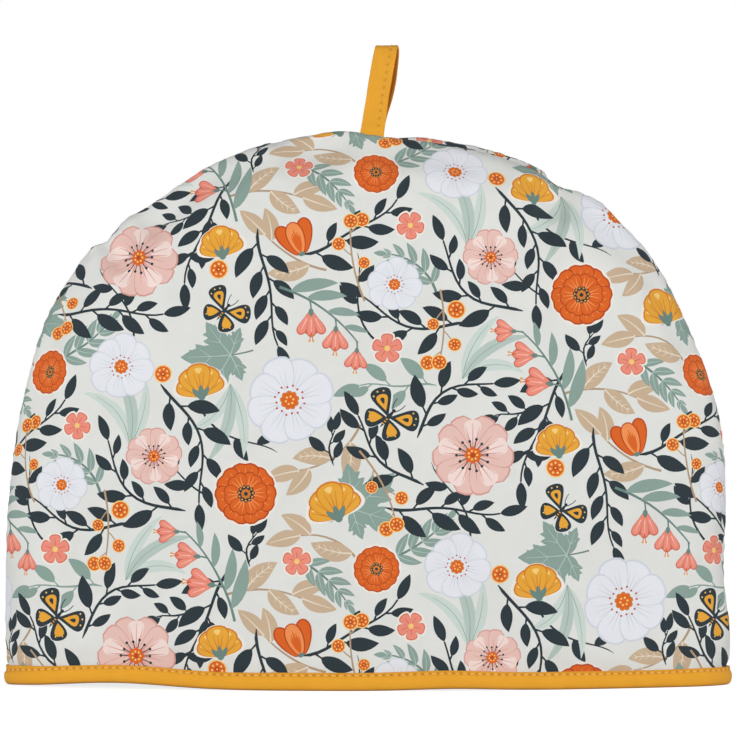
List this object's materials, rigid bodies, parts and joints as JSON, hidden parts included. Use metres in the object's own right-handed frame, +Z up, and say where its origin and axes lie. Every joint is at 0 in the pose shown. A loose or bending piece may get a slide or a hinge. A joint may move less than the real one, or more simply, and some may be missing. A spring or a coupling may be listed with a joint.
{
  "type": "tea cosy",
  "caption": "Padded dome-shaped tea cosy with floral cotton panels seamed over the top, a bound hem that stands around a teapot, and a tape loop at the crown for hanging.",
  "frame": {"origin": "middle of the hem, on the surface that the cosy stands on, midway between the front and the back", "axes": "+X to the right seen from the front, along the width; +Y from the front to the back, through the depth; +Z up, towards the loop"},
  "size_m": [0.37, 0.1044, 0.3252],
  "materials": {
    "printed_cotton": "matte",
    "binding_cotton": "matte",
    "loop_tape": "matte"
  },
  "bodies": {
    "root": {"front_panel": "printed_cotton", "back_panel": "printed_cotton", "hem_binding": "binding_cotton", "hanging_loop": "loop_tape"}
  },
  "joints": []
}
